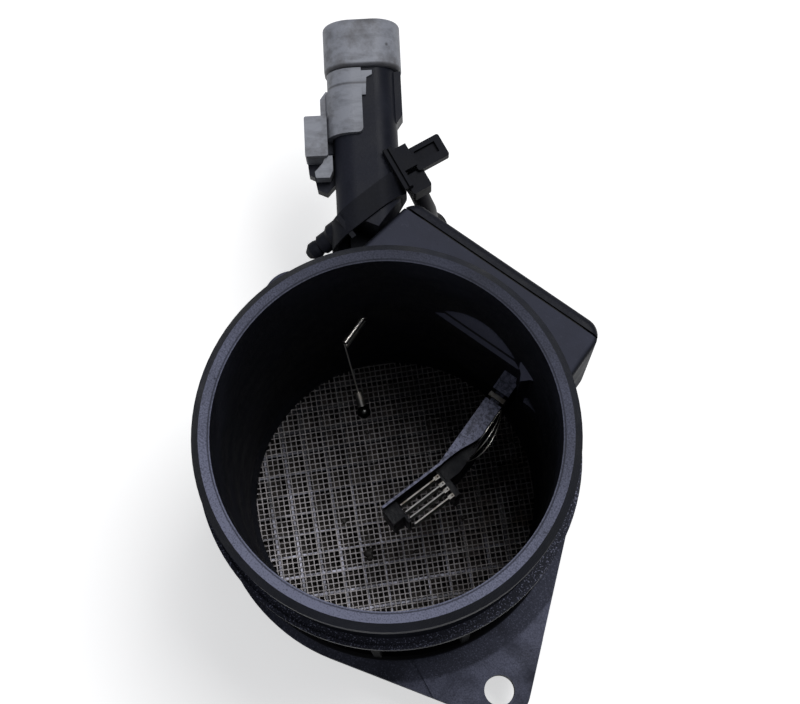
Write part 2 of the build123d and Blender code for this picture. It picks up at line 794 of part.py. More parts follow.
with BuildPart() as connector_body:
    with BuildSketch(connector_plane):
        RectangleRounded(connector_width, connector_height, connector_corner)
    extrude(amount=connector_end)
    with BuildSketch(connector_plan):
        with BuildLine():
            Polyline(
                (-connector_half, wall_run(-connector_half)),
                (connector_heel[0], wall_run(connector_heel[0])),
                (connector_half, wall_run(connector_heel[0]) + connector_heel[1]),
                (connector_half, connector_end),
                (-connector_half, connector_end),
                close=True,
            )
        make_face()
    extrude(amount=connector_height, both=True, mode=Mode.INTERSECT)
    with BuildSketch(connector_plane.offset(mouth_floor)):
        RectangleRounded(mouth_width, mouth_height, mouth_corner)
    extrude(amount=mouth_depth, mode=Mode.SUBTRACT)
    with BuildSketch(connector_plane.offset(mouth_floor - blade_root)):
        with GridLocations(blade_pitch, 1, blade_count, 1):
            Rectangle(blade_thickness + 2 * slip_gap, blade_width + 2 * slip_gap)
    extrude(amount=blade_root, mode=Mode.SUBTRACT)
    with BuildSketch(Plane(origin=exit_start, z_dir=exit_travel)):
        Circle(cable_exit_radius)
    extrude(amount=cable_exit_length)
    with BuildSketch(connector_plan.offset(-spur_top)):
        Polygon(*spur_outline, align=None)
    extrude(amount=spur_top - spur_bottom)
    with BuildSketch(connector_plan):
        Polygon(
            (-connector_width / 2 + cut_margin, side_rail_start),
            (-connector_width / 2, side_rail_start),
            (-connector_width / 2 - side_rail_depth, side_rail_start + side_rail_lead),
            (-connector_width / 2 - side_rail_depth, collar_start - seat_gap),
            (-connector_width / 2 + cut_margin, collar_start - seat_gap),
            align=None,
        )
    extrude(amount=side_rail_height / 2, both=True)
connector_body.part.label = "connector_body"

with BuildPart() as connector_collar:
    with BuildSketch(connector_plane.offset(collar_start)):
        RectangleRounded(collar_width, collar_height, collar_corner)
    extrude(amount=collar_end - collar_start)
    collar_ends = connector_collar.faces().sort_by(Axis(connector_origin, connector_axis))
    fillet(collar_ends[0].edges() + collar_ends[-1].edges(), collar_edge)
    with BuildSketch(connector_plane.offset(collar_start)):
        RectangleRounded(connector_width + 2 * slip_gap, connector_height + 2 * slip_gap,
                         connector_corner + slip_gap)
    extrude(amount=connector_end - collar_start, mode=Mode.SUBTRACT)
    with BuildSketch(connector_plane.offset(connector_end)):
        RectangleRounded(connector_width - 2 * collar_lip, connector_height - 2 * collar_lip,
                         connector_corner - collar_lip)
    extrude(amount=collar_end - connector_end, mode=Mode.SUBTRACT)
connector_collar.part.label = "connector_collar"

latch_gap_corner = connector_corner + slip_gap
latch_end = collar_start - seat_gap
latch_level = connector_height / 2 + slip_gap

with BuildPart() as connector_latch:
    for start, end, wall in (
        (latch_start, latch_step, latch_thickness),
        (latch_step, latch_end, latch_thickness - latch_step_depth),
    ):
        with BuildSketch(connector_plane.offset(start)):
            RectangleRounded(connector_width + 2 * slip_gap + 2 * wall,
                             connector_height + 2 * slip_gap + 2 * wall, latch_gap_corner + wall)
            RectangleRounded(connector_width + 2 * slip_gap, connector_height + 2 * slip_gap,
                             latch_gap_corner, mode=Mode.SUBTRACT)
            with Locations((latch_edge + connector_width / 2, connector_height / 2 - latch_drop)):
                Rectangle(connector_width, connector_height, mode=Mode.INTERSECT)
        extrude(amount=end - start)
    with BuildSketch(connector_plan) as latch_outline:
        Polygon((latch_edge, latch_start), (latch_edge + connector_width, latch_start),
                (latch_edge + connector_width, latch_end), (latch_edge, latch_end), align=None)
        fillet(latch_outline.vertices().group_by(Axis.X)[0].group_by(Axis.Y)[0], latch_corner)
    extrude(amount=connector_height, both=True, mode=Mode.INTERSECT)
    with BuildSketch(connector_plan.offset(-latch_level)):
        Polygon(*hook_outline, align=None)
    extrude(amount=-hook_thickness)
    with BuildSketch(connector_plan.offset(-flank_top)):
        Polygon(*flank_outline, align=None)
    extrude(amount=flank_top - flank_bottom)
    with BuildSketch(connector_plan.offset(-tab_top)):
        with Locations(((tab_inner + tab_reach) / 2, tab_start + tab_length / 2)):
            RectangleRounded(tab_reach - tab_inner, tab_length, tab_corner)
    extrude(amount=tab_top - tab_bottom)
    with BuildSketch(connector_plan.offset(-tongue_top)):
        Polygon(*tongue_outline, align=None)
    extrude(amount=tongue_top - tongue_bottom)
connector_latch.part.label = "connector_latch"

with BuildPart() as contact_blades:
    with BuildSketch(connector_plane.offset(mouth_floor - blade_root)):
        with GridLocations(blade_pitch, 1, blade_count, 1):
            Rectangle(blade_thickness, blade_width)
    extrude(amount=blade_root + blade_reach)
contact_blades.part.label = "contact_blades"

with BuildPart() as mouth_seal:
    with BuildSketch(connector_plane.offset(mouth_floor)):
        RectangleRounded(mouth_width - 2 * slip_gap, mouth_height - 2 * slip_gap,
                         mouth_corner - slip_gap)
        offset(amount=-mouth_seal_width, mode=Mode.SUBTRACT)
    extrude(amount=mouth_seal_height)
mouth_seal.part.label = "mouth_seal"

# Cable and its grommet

cable_points = (tuple(exit_end), *cable_bends, cable_end)
cable_radii = bend_radii(cable_points, cable_bend_share)
print("cable bend radii", [round(radius, 2) for radius in cable_radii])

with BuildPart() as cable_sleeve:
    with BuildLine() as cable_path:
        FilletPolyline(*cable_points, radius=cable_radii)
    with BuildSketch(Plane(origin=exit_end, z_dir=cable_path.line % 0)):
        Circle(cable_radius)
    sweep()
cable_sleeve.part.label = "cable_sleeve"

with BuildPart() as cable_grommet:
    with BuildSketch(Plane.XY.offset(cable_boss_top - grommet_height)):
        with Locations(cable_end[:2]):
            Circle(cable_radius + grommet_wall - slip_gap)
            Circle(cable_radius + slip_gap, mode=Mode.SUBTRACT)
    extrude(amount=grommet_height)
    with BuildSketch(Plane.XY.offset(cable_boss_top)):
        with Locations(cable_end[:2]):
            Circle(cable_radius + grommet_wall + grommet_rim)
            Circle(cable_radius + slip_gap, mode=Mode.SUBTRACT)
    extrude(amount=grommet_rim)
cable_grommet.part.label = "cable_grommet"

# Strap that holds the connector on its shelf

strap_start = strap_distance - strap_reach
head_level = connector_height / 2 + slip_gap
ridge_level = head_level + head_thickness
peg_travel = Vector(*peg_direction).normalized()
peg_plane = Plane(origin=peg_start, x_dir=peg_travel.cross(Vector(0, 0, 1)),
                  z_dir=peg_travel.cross(Vector(0, 0, 1)).cross(peg_travel))

with BuildSketch() as strap_core:
    RectangleRounded(connector_width, connector_height, connector_corner)
    with Locations((0, shelf_y)):
        Rectangle(shelf_width, shelf_thickness)
    make_hull()

with BuildPart() as connector_strap:
    with BuildSketch(connector_plane.offset(strap_start)):
        add(strap_core.sketch)
        offset(amount=slip_gap + strap_thickness)
    extrude(amount=2 * strap_reach)
    with BuildSketch(strap_plan):
        Rectangle(strap_width, 4 * strap_reach)
    extrude(amount=2 * strap_reach, both=True, mode=Mode.INTERSECT)
    with BuildSketch(head_plan.offset(head_level)):
        with Locations((0, head_plate[1] / 2)):
            Rectangle(*head_plate)
        neck_centre, neck_size = box_sketch(*neck_block)
        with Locations(neck_centre):
            Rectangle(*neck_size)
    extrude(amount=ridge_level - head_level)
    with BuildSketch(head_plan.offset(ridge_level)):
        with Locations(*[(0, run) for run in head_ridges]):
            Rectangle(head_plate[0], head_ridge_width)
        with Locations(neck_centre):
            Rectangle(*neck_size)
    extrude(amount=head_ridge_height)
    with BuildSketch(head_plan.offset(head_level + side_block_top)):
        side_centre, side_size = box_sketch(*side_block)
        with Locations(side_centre):
            RectangleRounded(*side_size, tail_corner)
    extrude(amount=-side_block_depth)
    with BuildSketch(head_plan.offset(ridge_level)):
        tail_centre, tail_size = box_sketch(*tail)
        with Locations(tail_centre):
            RectangleRounded(*tail_size, tail_corner)
    extrude(amount=-tail_thickness)
    with BuildSketch(head_plan.offset(ridge_level)):
        recess_centre, recess_size = box_sketch(*tail_recess)
        with Locations(recess_centre):
            Rectangle(*recess_size)
    extrude(amount=-tail_recess_depth, mode=Mode.SUBTRACT)
    with BuildSketch(strap_plan.offset(root_plate_bottom)):
        root_centre, root_size = box_sketch(*root_plate)
        with Locations(root_centre):
            Rectangle(*root_size)
    extrude(amount=root_plate_top - root_plate_bottom)
    with BuildSketch(peg_plane):
        with BuildLine():
            Polyline(*peg_profile, close=True)
        make_face()
    revolve(axis=Axis(peg_start, peg_travel))
    with BuildSketch(connector_plane.offset(strap_start - strap_reach)):
        add(strap_core.sketch)
        offset(amount=slip_gap)
    extrude(amount=4 * strap_reach, mode=Mode.SUBTRACT)
    with BuildSketch(Plane(origin=exit_start, z_dir=exit_travel)):
        Circle(cable_exit_radius + seat_gap)
    extrude(amount=2 * cable_exit_length, mode=Mode.SUBTRACT)
connector_strap.part.label = "connector_strap"

for node in (
    housing, box_lid, lid_adhesive, circuit_board, board_chip, board_capacitors, board_pads,
    sensor_arm, arm_band, film_plates, guard_plates, plate_clips, film_leads,
    thermistor_pins, thermistor_leads, thermistor_sleeve, thermistor_bead, wire_screen,
    straightener_grid, screen_ring, inlet_seal, connector_body, connector_collar,
    connector_latch, contact_blades, mouth_seal, cable_sleeve, cable_grommet, connector_strap,
):
    export_step(node.part, f"parts/{node.part.label}.step")
    print(node.part.label, len(node.part.solids()), round(node.part.volume, 1))
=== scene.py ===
import math

import bpy
import numpy as np
from mathutils import Matrix, Vector


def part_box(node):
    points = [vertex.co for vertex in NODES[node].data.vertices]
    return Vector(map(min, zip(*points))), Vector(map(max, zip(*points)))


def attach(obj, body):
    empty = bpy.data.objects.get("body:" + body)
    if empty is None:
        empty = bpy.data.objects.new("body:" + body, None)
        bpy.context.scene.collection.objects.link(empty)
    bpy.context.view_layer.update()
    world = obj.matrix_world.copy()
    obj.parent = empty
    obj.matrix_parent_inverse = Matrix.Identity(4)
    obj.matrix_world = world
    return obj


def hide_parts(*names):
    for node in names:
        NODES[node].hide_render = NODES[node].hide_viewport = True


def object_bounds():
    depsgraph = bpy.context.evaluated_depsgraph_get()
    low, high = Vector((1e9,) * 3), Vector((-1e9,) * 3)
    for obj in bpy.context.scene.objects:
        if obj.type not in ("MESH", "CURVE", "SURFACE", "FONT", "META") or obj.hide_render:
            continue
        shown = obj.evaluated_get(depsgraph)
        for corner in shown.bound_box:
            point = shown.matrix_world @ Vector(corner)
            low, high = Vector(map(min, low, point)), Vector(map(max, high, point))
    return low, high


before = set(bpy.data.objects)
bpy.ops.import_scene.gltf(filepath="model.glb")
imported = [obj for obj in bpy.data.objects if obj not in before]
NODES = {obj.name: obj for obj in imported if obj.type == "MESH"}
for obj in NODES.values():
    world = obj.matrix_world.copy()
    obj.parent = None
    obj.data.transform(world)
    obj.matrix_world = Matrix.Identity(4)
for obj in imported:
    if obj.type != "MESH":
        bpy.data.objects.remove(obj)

CAD_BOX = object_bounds()

bl_info = {
    "name": "Mass airflow sensor dressing",
    "version": (1, 0, 0),
    "blender": (4, 5, 0),
    "location": "View3D > Sidebar > Airflow sensor",
    "description": "Finishes, woven screen, cable, dirt, stage and camera for the airflow sensor",
    "category": "Object",
}

MM = 0.001
SCREEN_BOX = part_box("wire_screen")
FLOOR_LEVEL = CAD_BOX[0][2]

# Directions in plan: the screen's wires, the connector, the picture's low left, toward
# which painted light grows on the rim, the grid and the screen, and the oily side
SCREEN_ANGLE = math.radians(44.4)
CONNECTOR_RUN = math.radians(128.1)
LOW_LEFT = math.radians(-80.0)
OILY_SIDE = math.radians(35.0)

# Oily dirt begins and is full at these distances from the axis, toward the oily side
OIL_REACH = (8.0 * MM, 32.0 * MM)

# The cable's route as in the part's source, in millimetres: its start in the connector, its
# bends and its end in the lid
CABLE_ROUTE = ((-38.79, 59.48, 52.46), (-36.5, 60.8, 50.0), (-31.9, 58.6, 47.0),
               (-30.0, 58.6, 40.0), (-30.0, 58.6, 20.0))

# Heights of the finishes' zones, from the flange's seat up
FLANGE_ZONE = 9.0 * MM
LEDGE_ZONE = (41.0 * MM, 43.0 * MM)
ARM_TOP = 44.0 * MM
SLOPE_LOW = 50.0 * MM
BOX_ZONE = 52.0 * MM
STOP_ZONE = (58.0 * MM, 70.0 * MM)
NOSE_ZONE = (59.0 * MM, 66.0 * MM)
RIM_ZONE = 96.0 * MM

# Radii of the zones, from the bore out: the bore, the dark line round the rim, the neck,
# the inlet spigot, the duct's wall, the stop ring, and the flange inside its ears
BORE_RADIUS = 38.0 * MM
RIM_LINE = (38.25 * MM, 38.60 * MM)
NECK_RADIUS = 40.5 * MM
SPIGOT_RADIUS = 40.6 * MM
WALL_RADIUS = 41.0 * MM
RING_RADIUS = 44.6 * MM
EAR_RADIUS = 49.0 * MM

# The box lies past this distance from the axis, on its side of the duct
BOX_NEAR = 22.0 * MM

# A zone's edge fades over this much to either side, and a thin line's over less
SOFT_EDGE = 0.4 * MM
LINE_EDGE = 0.08 * MM

# Where dark lines cross the grey pieces, along the connector, at the latch's step and the
# collar's edge, and a line's soft width
LATCH_STEP_LINE = 91.3 * MM
COLLAR_EDGE = 95.6 * MM
DARK_LINE_WIDTH = 0.25 * MM

# Dark webs, in millimetres: name, place, half sizes along and across the connector and up,
# and slot
WEBS = (("latch_web", (-57.1, 54.9, 55.0), (2.6, 1.7, 2.2), "black_plastic"),
        ("strap_web", (-36.8, 61.6, 56.8), (2.0, 1.6, 1.2), "strap_plastic"))

# Crumbs on the screen: place in plan and size, in millimetres
CRUMBS = ((2.74, -15.9, 1.25), (3.6, -16.6, 0.9), (-7.66, -12.8, 0.75), (9.4, 4.6, 0.6),
          (-16.5, 10.2, 0.55), (12.6, -8.4, 0.5), (17.8, 6.3, 0.7), (20.5, 9.1, 0.6),
          (-4.3, 21.5, 0.6))

# The woven screen's gap to its socket, its wires' sides and their points for each pitch
SCREEN_GAP = 0.1 * MM
WIRE_SIDES = 5
WIRE_STEPS = 2

# Colours of dust, oil and wear; the grid's dust is brightened toward the low left as
# painted light, and the shaded grey is painted shade
GRID_DUST_AND_LIGHT = (0.80, 0.80, 0.95)
WIRE_DUST = (0.72, 0.70, 0.74)
RUBBER_DUST = (0.07, 0.07, 0.08)
GRID_OIL = (0.05, 0.036, 0.02)
WIRE_OIL = (0.10, 0.065, 0.035)
GRIME = (0.075, 0.068, 0.066)
SHADED_GREY = (0.06, 0.058, 0.062)
NICK = (0.03, 0.028, 0.03)

# The stage: the floor's half side, the painted shadow on the floor inside the duct's foot,
# the light from all round, and the lamps with their place, their size and the setting of
# their power
FLOOR_REACH = 4.0
FLOOR_SHADOW_UNDER_DUCT = (0.10, 0.09, 0.085)
SKY_COLOUR = (0.92, 0.94, 1.0)
LAMPS = (("lamp_above", (0.06, 0.36, 1.15), 0.42, "key_power"),
         ("lamp_side", (-0.9, -0.9, 0.8), 0.7, "fill_power"))


# Sizes and colours that a user would change

def colour_setting(name, words, value):
    """A colour property with its default."""
    return bpy.props.FloatVectorProperty(name=name, description=words, subtype="COLOR",
                                         default=value, min=0.0, max=1.0)


def length_setting(name, words, value):
    """A length property with its default in metres."""
    return bpy.props.FloatProperty(name=name, description=words, default=value, unit="LENGTH",
                                   precision=5)


class ScreenSettings(bpy.types.PropertyGroup):
    pitch: length_setting("Weave pitch", "Distance between neighbouring wires", 1.41 * MM)
    wire: length_setting("Wire radius", "Radius of one wire of the screen", 0.17 * MM)
    crimp: length_setting("Crimp", "How far each wire rises and falls on its way", 0.14 * MM)
    colour: colour_setting("Wire", "Colour of the dusty screen wire", (0.50, 0.47, 0.48))


class CableSettings(bpy.types.PropertyGroup):
    length: length_setting("Cable length", "Length of the sleeved cable", 36.0 * MM)
    diameter: length_setting("Cable diameter", "Diameter of the sleeve", 4.6 * MM)


class FinishSettings(bpy.types.PropertyGroup):
    housing: colour_setting("Housing", "Colour of the black moulding", (0.008, 0.009, 0.013))
    # Pale dust on faces that look up, with a painted bluish sheen.
    bloom_and_sheen: colour_setting("Bloom", "Colour of the dusty bloom on faces that look up",
                          (0.163, 0.172, 0.245))
    connector: colour_setting("Connector body", "Colour of the connector's black body",
                              (0.007, 0.008, 0.013))
    grey: colour_setting("Grey pieces", "Colour of the collar and the lock piece",
                         (0.250, 0.262, 0.300))
    metal: colour_setting("Tinned metal", "Colour of pins, leads and clips",
                          (0.62, 0.60, 0.56))


class StageSettings(bpy.types.PropertyGroup):
    floor: colour_setting("Floor", "Colour of the floor", (0.80, 0.80, 0.80))
    floor_glow: bpy.props.FloatProperty(
        name="Floor glow", description="Light that the floor adds where it is seen", default=0.52)
    key_power: bpy.props.FloatProperty(
        name="Key lamp", description="Power of the large lamp above", default=8.0, unit="POWER")
    fill_power: bpy.props.FloatProperty(
        name="Fill lamp", description="Power of the lamp beside", default=1.6, unit="POWER")
    sky: bpy.props.FloatProperty(
        name="Sky", description="Strength of the light from all round", default=0.24)
    camera_place: bpy.props.FloatVectorProperty(
        name="Camera place", description="Where the camera stands", unit="LENGTH", precision=5,
        default=(47.6 * MM, -50.9 * MM, 522.9 * MM))
    camera_target: bpy.props.FloatVectorProperty(
        name="Camera target", description="The point in the middle of the picture",
        unit="LENGTH", precision=5, default=(-7.87 * MM, 16.16 * MM, 100.0 * MM))
    camera_up: bpy.props.FloatProperty(
        name="Camera roll", description="Direction in plan that is up in the picture",
        default=math.radians(125.35), unit="ROTATION")
    focal: bpy.props.FloatProperty(
        name="Focal length", description="Focal length on a 36 mm wide sensor", default=90.0)


# Node helpers

class Finish:
    """A material being made: keeps its node tree and adds nodes to it."""

    def __init__(self, name, roughness=0.5, metallic=0.0, specular=0.5):
        self.material = bpy.data.materials.new(name)
        self.material.use_nodes = True
        self.tree = self.material.node_tree
        self.shader = self.tree.nodes["Principled BSDF"]
        self.shader.inputs["Roughness"].default_value = roughness
        self.shader.inputs["Metallic"].default_value = metallic
        self.shader.inputs["Specular IOR Level"].default_value = specular
        self.place = self.node("ShaderNodeTexCoord").outputs["Object"]

    def node(self, kind, **settings):
        made = self.tree.nodes.new(kind)
        for key, value in settings.items():
            setattr(made, key, value)
        return made

    def link(self, source, target):
        self.tree.links.new(source, target)

    def fill(self, socket, value):
        """Links a socket or sets its number."""
        if isinstance(value, bpy.types.NodeSocket):
            self.link(value, socket)
        else:
            socket.default_value = value

    def mapped(self, stretch, turn):
        """The place turned about Z and stretched along the turned axes."""
        turned = self.node("ShaderNodeMapping")
        turned.inputs["Rotation"].default_value = (0.0, 0.0, -turn)
        self.link(self.place, turned.inputs["Vector"])
        made = self.node("ShaderNodeMapping")
        made.inputs["Scale"].default_value = stretch
        self.link(turned.outputs["Vector"], made.inputs["Vector"])
        return made.outputs["Vector"]

    def noise(self, scale, detail=4.0, roughness=0.55, place=None):
        made = self.node("ShaderNodeTexNoise")
        made.inputs["Scale"].default_value = scale
        made.inputs["Detail"].default_value = detail
        made.inputs["Roughness"].default_value = roughness
        self.link(place or self.place, made.inputs["Vector"])
        return made.outputs["Fac"]

    def cells(self, scale):
        """Distance to the nearest of many scattered points."""
        made = self.node("ShaderNodeTexVoronoi")
        made.inputs["Scale"].default_value = scale
        self.link(self.place, made.inputs["Vector"])
        return made.outputs["Distance"]

    def ramp(self, source, low, high, start=0.0, end=1.0):
        """Goes from start to end while the source goes from low to high, and holds there."""
        made = self.node("ShaderNodeMapRange", clamp=True)
        for name, value in (("From Min", low), ("From Max", high), ("To Min", start),
                            ("To Max", end)):
            made.inputs[name].default_value = value
        self.link(source, made.inputs["Value"])
        return made.outputs["Result"]

    def maths(self, operation, *values):
        """Joins two or more values, one after the other."""
        result = values[0]
        for value in values[1:]:
            made = self.node("ShaderNodeMath", operation=operation)
            self.fill(made.inputs[0], result)
            self.fill(made.inputs[1], value)
            result = made.outputs["Value"]
        return result

    def times(self, *values):
        return self.maths("MULTIPLY", *values)

    def plus(self, *values):
        return self.maths("ADD", *values)

    def blend(self, amount, first, second):
        """Mixes two colours: the first where the amount is 0, the second where it is 1."""
        made = self.node("ShaderNodeMix", data_type="RGBA")
        self.fill(made.inputs["Factor"], amount)
        colours = [socket for socket in made.inputs if socket.type == "RGBA"]
        for socket, value in zip(colours, (first, second)):
            self.fill(socket, value if isinstance(value, bpy.types.NodeSocket) else (*value, 1.0))
        return [socket for socket in made.outputs if socket.type == "RGBA"][0]

    def split(self, vector, axis):
        made = self.node("ShaderNodeSeparateXYZ")
        self.link(vector, made.inputs["Vector"])
        return made.outputs[axis]

    def facing_up(self, low=0.2, high=0.9):
        """How far a surface faces up, from its true normal in the frame."""
        normal = self.node("ShaderNodeNewGeometry").outputs["True Normal"]
        return self.ramp(self.split(normal, "Z"), low, high)

    def height(self):
        return self.split(self.place, "Z")

    def radius(self):
        """Distance from the duct's axis."""
        flat = self.node("ShaderNodeVectorMath", operation="MULTIPLY")
        flat.inputs[1].default_value = (1.0, 1.0, 0.0)
        self.link(self.place, flat.inputs[0])
        made = self.node("ShaderNodeVectorMath", operation="LENGTH")
        self.link(flat.outputs["Vector"], made.inputs[0])
        return made.outputs["Value"]

    def along(self, angle):
        """Distance from the duct's axis along a direction in plan."""
        made = self.node("ShaderNodeVectorMath", operation="DOT_PRODUCT")
        made.inputs[1].default_value = (math.cos(angle), math.sin(angle), 0.0)
        self.link(self.place, made.inputs[0])
        return made.outputs["Value"]

    def above(self, source, level, blur=SOFT_EDGE):
        return self.ramp(source, level - blur, level + blur)

    def below(self, source, level, blur=SOFT_EDGE):
        return self.ramp(source, level - blur, level + blur, 1.0, 0.0)

    def between(self, source, low, high, blur=SOFT_EDGE):
        return self.times(self.above(source, low, blur), self.below(source, high, blur))

    def oil(self):
        """Spots of oil that grow toward the oily side."""
        return self.times(self.ramp(self.along(OILY_SIDE), *OIL_REACH),
                          self.ramp(self.noise(160.0, 3.0), 0.45, 0.6))

    def colour(self, source):
        self.link(source, self.shader.inputs["Base Color"])

    def rough(self, source):
        self.link(source, self.shader.inputs["Roughness"])

    def bump(self, source, distance, strength=1.0):
        made = self.node("ShaderNodeBump")
        made.inputs["Distance"].default_value = distance
        made.inputs["Strength"].default_value = strength
        self.link(source, made.inputs["Height"])
        self.link(made.outputs["Normal"], self.shader.inputs["Normal"])


def scaled(colour, share):
    return tuple(part * share for part in colour)


def grain(finish, fine, coarse=420.0, share=0.5):
    """Moulded tooth: a fine and a coarse noise added together."""
    return finish.plus(finish.times(finish.noise(fine, 2.0, 0.6), 0.6),
                       finish.times(finish.noise(coarse, 3.0), share))


def housing_moulding(base, bloom_and_sheen):
    """The duct's black moulding. Dust with a painted sheen lies on faces that look up, at its own
    strength on the rim, the stop ring, the flange, its ears, the box's top, and the nose and
    the shelf in the bore. On the rim it is painted brighter toward the low left as painted
    light, on the stop ring and the flange it carries painted glints, and on the shelf it is
    painted light over shade. The sloping face round the nose carries a painted highlight,
    nicks go through all of it, and the duct's side between the flange and the stop ring, with
    its ribs, is painted nearly black as shade under the ring and is duller than the rest."""
    finish = Finish("housing moulding", specular=0.08)
    height, radius = finish.height(), finish.radius()
    up = finish.facing_up(0.7, 0.97)
    # Painted light: the rim's dust with sheen is painted brighter toward the low left.
    painted_light_side = finish.ramp(finish.along(LOW_LEFT), -40.0 * MM, 42.0 * MM, 0.15, 1.0)
    fine = finish.ramp(finish.noise(2600.0, 3.0, 0.7), 0.38, 0.6, 0.42, 1.0)
    patches = finish.ramp(finish.noise(70.0, 6.0, 0.62), 0.36, 0.62)
    # Painted glints: bright specks of the sheen colour on the stop ring and the flange.
    sparkle = finish.ramp(finish.noise(2600.0, 2.0, 0.5), 0.58, 0.68)
    scuffs = finish.ramp(finish.noise(700.0, 6.0, 0.8), 0.58, 0.75)

    rim = finish.times(finish.above(height, RIM_ZONE), painted_light_side, fine,
                       finish.ramp(patches, 0.0, 1.0, 0.72, 1.0), 1.6)
    line = finish.between(radius, *RIM_LINE, LINE_EDGE)
    rim = finish.times(rim, finish.ramp(line, 0.0, 1.0, 1.0, 0.3))
    stop = finish.times(finish.between(height, *STOP_ZONE),
                        finish.between(radius, NECK_RADIUS, RING_RADIUS),
                        finish.plus(0.10, finish.times(sparkle, 1.5)))
    low = finish.below(height, FLANGE_ZONE)
    flange = finish.times(low, finish.below(radius, EAR_RADIUS),
                          finish.plus(0.05, finish.times(patches, fine, 0.22),
                                      finish.times(sparkle, 0.25)))
    mottle = finish.ramp(finish.noise(62.0, 8.0, 0.66), 0.42, 0.6)
    ears = finish.times(low, finish.above(radius, EAR_RADIUS), finish.plus(
        0.07, finish.times(patches, 0.08), finish.times(mottle, fine, 0.60)))
    box = finish.times(finish.above(finish.split(finish.place, "Y"), BOX_NEAR),
                       finish.above(radius, RING_RADIUS), finish.above(height, BOX_ZONE),
                       finish.plus(0.17, finish.times(patches, 0.06),
                                   finish.times(scuffs, 0.10)))
    nose = finish.times(finish.between(height, *NOSE_ZONE),
                        finish.below(radius, BORE_RADIUS - 0.6 * MM), finish.times(fine, 1.1))
    # Painted highlight on the sloping face round the nose.
    slope_highlight = finish.times(finish.between(height, SLOPE_LOW, STOP_ZONE[1]),
                         finish.below(radius, BORE_RADIUS - 0.1 * MM),
                         finish.facing_up(0.05, 0.25), finish.times(fine, 3.4))
    # Painted light on the shelf's top in the bore, which lies in shade.
    ledge_painted_light = finish.times(finish.between(height, *LEDGE_ZONE),
                         finish.below(radius, BORE_RADIUS - 0.4 * MM), fine)
    dust = finish.times(up, finish.plus(rim, stop, flange, ears, box, nose, ledge_painted_light))
    dust = finish.plus(dust, slope_highlight, finish.times(scuffs, up, 0.06))

    nicks = finish.times(finish.ramp(finish.cells(330.0), 0.04, 0.12, 1.0, 0.0),
                         finish.ramp(finish.noise(85.0, 3.0), 0.5, 0.58))
    dust = finish.times(dust, finish.ramp(nicks, 0.0, 1.0, 1.0, 0.25))
    tone = finish.blend(patches, base, scaled(base, 1.5))
    wiped = finish.ramp(finish.noise(34.0, 5.0, 0.6), 0.5, 0.66, 0.0, 0.045)
    # Painted shade: the duct's side between the flange and the stop ring, under the ring, is
    # painted nearly black.
    shaded_wall = finish.times(finish.between(height, FLANGE_ZONE, STOP_ZONE[0]),
                        finish.between(radius, WALL_RADIUS, RING_RADIUS))
    dusty = finish.blend(finish.plus(dust, wiped), tone, bloom_and_sheen)
    finish.colour(finish.blend(shaded_wall, dusty, scaled(base, 0.15)))
    finish.rough(finish.plus(finish.ramp(patches, 0.0, 1.0, 0.5, 0.72),
                             finish.times(shaded_wall, 0.5)))
    finish.bump(grain(finish, 2400.0), 0.18 * MM, 0.8)
    return finish.material


def moulding(name, base, bloom_and_sheen, fine=2600.0, share=0.5, roughness=(0.42, 0.62), specular=0.25):
    """Plain black moulding: moulded grain, a little dust with a painted sheen on upward faces,
    light scuffs.
    """
    finish = Finish(name, specular=specular)
    patches = finish.ramp(finish.noise(90.0, 6.0, 0.6), 0.36, 0.64)
    speckle = finish.ramp(finish.noise(1700.0, 3.0, 0.7), 0.42, 0.66, 0.5, 1.0)
    scuffs = finish.ramp(finish.noise(800.0, 6.0, 0.8), 0.58, 0.74, 0.0, 0.25)
    dust = finish.times(finish.facing_up(), finish.plus(finish.times(speckle, share), scuffs),
                        finish.ramp(patches, 0.0, 1.0, 0.6, 1.0))
    tone = finish.blend(patches, base, scaled(base, 1.4))
    finish.colour(finish.blend(dust, tone, bloom_and_sheen))
    finish.rough(finish.ramp(patches, 0.0, 1.0, *roughness))
    finish.bump(grain(finish, fine, 1100.0), 0.08 * MM, 0.5)
    return finish.material


def arm_moulding(base, bloom_and_sheen):
    """The sensor arm: sparkling dusty grain with a painted sheen on its top face; below the
    top it stays black, faces that look up too, as painted shade.
    """
    finish = Finish("arm moulding", specular=0.1)
    # Only faces above the arm's top get the dusty sheen; lower faces that look up stay black as
    # painted shade.
    top = finish.times(finish.above(finish.height(), ARM_TOP), finish.facing_up(0.6, 0.95))
    speckle = finish.ramp(finish.noise(1300.0, 3.0, 0.75), 0.4, 0.68)
    patches = finish.ramp(finish.noise(150.0, 4.0), 0.35, 0.65, 0.5, 1.0)
    root = finish.ramp(finish.split(finish.place, "Y"), 11.0 * MM, 25.0 * MM, 0.8, 1.0)
    dust = finish.times(top, root, finish.plus(0.35, finish.times(speckle, patches, 1.6)))
    finish.colour(finish.blend(dust, scaled(base, 0.6), bloom_and_sheen))
    finish.rough(finish.ramp(patches, 0.5, 1.0, 0.38, 0.6))
    finish.bump(grain(finish, 1500.0), 0.18 * MM, 0.9)
    return finish.material


